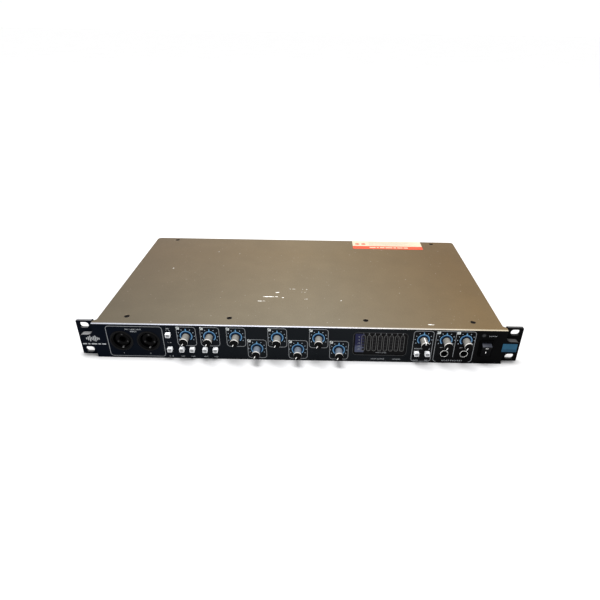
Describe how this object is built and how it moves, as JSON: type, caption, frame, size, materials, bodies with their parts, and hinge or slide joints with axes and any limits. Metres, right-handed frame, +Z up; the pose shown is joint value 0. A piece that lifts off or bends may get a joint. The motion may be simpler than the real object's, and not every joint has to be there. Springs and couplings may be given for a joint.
{
  "type": "rack audio interface",
  "caption": "One-unit rack audio interface: flat grey steel case, black front panel with ears, turning knobs, push buttons, level meter, combo sockets and a mains rocker.",
  "frame": {"origin": "middle of the whole object's box in plan, on the plane that the case stands on", "axes": "+X along the front panel to the right seen from the front, +Y from the front panel to the rear wall, +Z up"},
  "size_m": [0.4826, 0.2584, 0.0439],
  "materials": {
    "panel_paint": "satin black powder coat with fine grey print",
    "case_paint": "fine-textured warm grey paint",
    "black_plastic": "moulded black plastic",
    "knob_plastic": "satin light grey sides, black face, white pointer",
    "button_plastic": "light grey moulded plastic",
    "meter_lens": "smoked gloss window",
    "circuit_board": "green solder mask",
    "screw_black": "blackened steel",
    "nickel_plate": "nickel plate",
    "lamp_lens": "clear blue lens",
    "sticker_vinyl": "printed vinyl, blank",
    "ribbon_sleeve": "flat grey cable"
  },
  "bodies": {
    "case": {"front_panel": "panel_paint", "top_cover": "case_paint", "chassis_tray": "case_paint", "cover_sticker": "sticker_vinyl", "cover_screw_1": "screw_black", "cover_screw_2": "screw_black", "cover_screw_3": "screw_black", "cover_screw_4": "screw_black", "cover_screw_5": "screw_black", "cover_screw_6": "screw_black", "front_combo_jack_1": "black_plastic", "front_combo_jack_2": "black_plastic", "phones_jack_1": "nickel_plate", "phones_jack_2": "nickel_plate", "rear_combo_jack_3": "black_plastic", "rear_combo_jack_4": "black_plastic", "rear_combo_jack_5": "black_plastic", "rear_combo_jack_6": "black_plastic", "rear_combo_jack_7": "black_plastic", "rear_combo_jack_8": "black_plastic", "line_out_jacks_1": "black_plastic", "line_out_jacks_2": "black_plastic", "line_out_jacks_3": "black_plastic", "line_out_jacks_4": "black_plastic", "line_out_jacks_5": "black_plastic", "coax_jacks": "nickel_plate", "optical_ports": "black_plastic", "midi_in_socket": "black_plastic", "midi_out_socket": "black_plastic", "data_port": "nickel_plate", "mains_inlet": "black_plastic", "meter_window": "meter_lens", "meter_board": "circuit_board", "power_lamp": "lamp_lens", "rocker_housing": "black_plastic", "control_board": "circuit_board", "main_board": "circuit_board", "power_supply": "circuit_board", "ribbon_cable": "ribbon_sleeve"},
    "gain_knob_1": {"gain_knob_1": "knob_plastic"},
    "gain_knob_2": {"gain_knob_2": "knob_plastic"},
    "gain_knob_3": {"gain_knob_3": "knob_plastic"},
    "gain_knob_4": {"gain_knob_4": "knob_plastic"},
    "gain_knob_5": {"gain_knob_5": "knob_plastic"},
    "gain_knob_6": {"gain_knob_6": "knob_plastic"},
    "gain_knob_7": {"gain_knob_7": "knob_plastic"},
    "gain_knob_8": {"gain_knob_8": "knob_plastic"},
    "monitor_knob": {"monitor_knob": "knob_plastic"},
    "phones_knob_1": {"phones_knob_1": "knob_plastic"},
    "phones_knob_2": {"phones_knob_2": "knob_plastic"},
    "phantom_button_1": {"phantom_button_1": "button_plastic"},
    "phantom_button_2": {"phantom_button_2": "button_plastic"},
    "inst_button_1": {"inst_button_1": "button_plastic"},
    "pad_button_1": {"pad_button_1": "button_plastic"},
    "inst_button_2": {"inst_button_2": "button_plastic"},
    "pad_button_2": {"pad_button_2": "button_plastic"},
    "mute_button": {"mute_button": "button_plastic"},
    "dim_button": {"dim_button": "button_plastic"},
    "power_rocker": {"power_rocker": "black_plastic"}
  },
  "joints": [
    {"name": "gain_turn_1", "type": "hinge", "parent": "case", "child": "gain_knob_1", "pos_m": [-0.122, -0.11615, 0.0296], "axis": [0, 1, 0], "range_deg": [0, 300]},
    {"name": "gain_turn_2", "type": "hinge", "parent": "case", "child": "gain_knob_2", "pos_m": [-0.0967, -0.11615, 0.0296], "axis": [0, 1, 0], "range_deg": [0, 300]},
    {"name": "gain_turn_3", "type": "hinge", "parent": "case", "child": "gain_knob_3", "pos_m": [-0.0684, -0.11615, 0.0296], "axis": [0, 1, 0], "range_deg": [0, 300]},
    {"name": "gain_turn_4", "type": "hinge", "parent": "case", "child": "gain_knob_4", "pos_m": [-0.0461, -0.11615, 0.0149], "axis": [0, 1, 0], "range_deg": [0, 300]},
    {"name": "gain_turn_5", "type": "hinge", "parent": "case", "child": "gain_knob_5", "pos_m": [-0.0238, -0.11615, 0.0296], "axis": [0, 1, 0], "range_deg": [0, 300]},
    {"name": "gain_turn_6", "type": "hinge", "parent": "case", "child": "gain_knob_6", "pos_m": [-0.0015, -0.11615, 0.0149], "axis": [0, 1, 0], "range_deg": [0, 300]},
    {"name": "gain_turn_7", "type": "hinge", "parent": "case", "child": "gain_knob_7", "pos_m": [0.0208, -0.11615, 0.0296], "axis": [0, 1, 0], "range_deg": [0, 300]},
    {"name": "gain_turn_8", "type": "hinge", "parent": "case", "child": "gain_knob_8", "pos_m": [0.0431, -0.11615, 0.0149], "axis": [0, 1, 0], "range_deg": [0, 300]},
    {"name": "monitor_turn", "type": "hinge", "parent": "case", "child": "monitor_knob", "pos_m": [0.1337, -0.11615, 0.0303], "axis": [0, 1, 0], "range_deg": [-150, 150]},
    {"name": "phones_turn_1", "type": "hinge", "parent": "case", "child": "phones_knob_1", "pos_m": [0.1581, -0.11615, 0.0303], "axis": [0, 1, 0], "range_deg": [0, 300]},
    {"name": "phones_turn_2", "type": "hinge", "parent": "case", "child": "phones_knob_2", "pos_m": [0.1794, -0.11615, 0.0303], "axis": [0, 1, 0], "range_deg": [0, 300]},
    {"name": "phantom_press_1", "type": "slide", "parent": "case", "child": "phantom_button_1", "axis": [0, 1, 0], "range_m": [0, 0.0015], "stiffness_N_per_m": 800, "springref_m": -0.001},
    {"name": "phantom_press_2", "type": "slide", "parent": "case", "child": "phantom_button_2", "axis": [0, 1, 0], "range_m": [0, 0.0015], "stiffness_N_per_m": 800, "springref_m": -0.001},
    {"name": "inst_press_1", "type": "slide", "parent": "case", "child": "inst_button_1", "axis": [0, 1, 0], "range_m": [0, 0.0015], "stiffness_N_per_m": 800, "springref_m": -0.001},
    {"name": "pad_press_1", "type": "slide", "parent": "case", "child": "pad_button_1", "axis": [0, 1, 0], "range_m": [0, 0.0015], "stiffness_N_per_m": 800, "springref_m": -0.001},
    {"name": "inst_press_2", "type": "slide", "parent": "case", "child": "inst_button_2", "axis": [0, 1, 0], "range_m": [0, 0.0015], "stiffness_N_per_m": 800, "springref_m": -0.001},
    {"name": "pad_press_2", "type": "slide", "parent": "case", "child": "pad_button_2", "axis": [0, 1, 0], "range_m": [0, 0.0015], "stiffness_N_per_m": 800, "springref_m": -0.001},
    {"name": "mute_press", "type": "slide", "parent": "case", "child": "mute_button", "axis": [0, 1, 0], "range_m": [0, 0.0015], "stiffness_N_per_m": 800, "springref_m": -0.001},
    {"name": "dim_press", "type": "slide", "parent": "case", "child": "dim_button", "axis": [0, 1, 0], "range_m": [0, 0.0015], "stiffness_N_per_m": 800, "springref_m": -0.001},
    {"name": "power_rock", "type": "hinge", "parent": "case", "child": "power_rocker", "pos_m": [0.2022, -0.11165, 0.0205], "axis": [1, 0, 0], "range_deg": [-20, 0]}
  ]
}
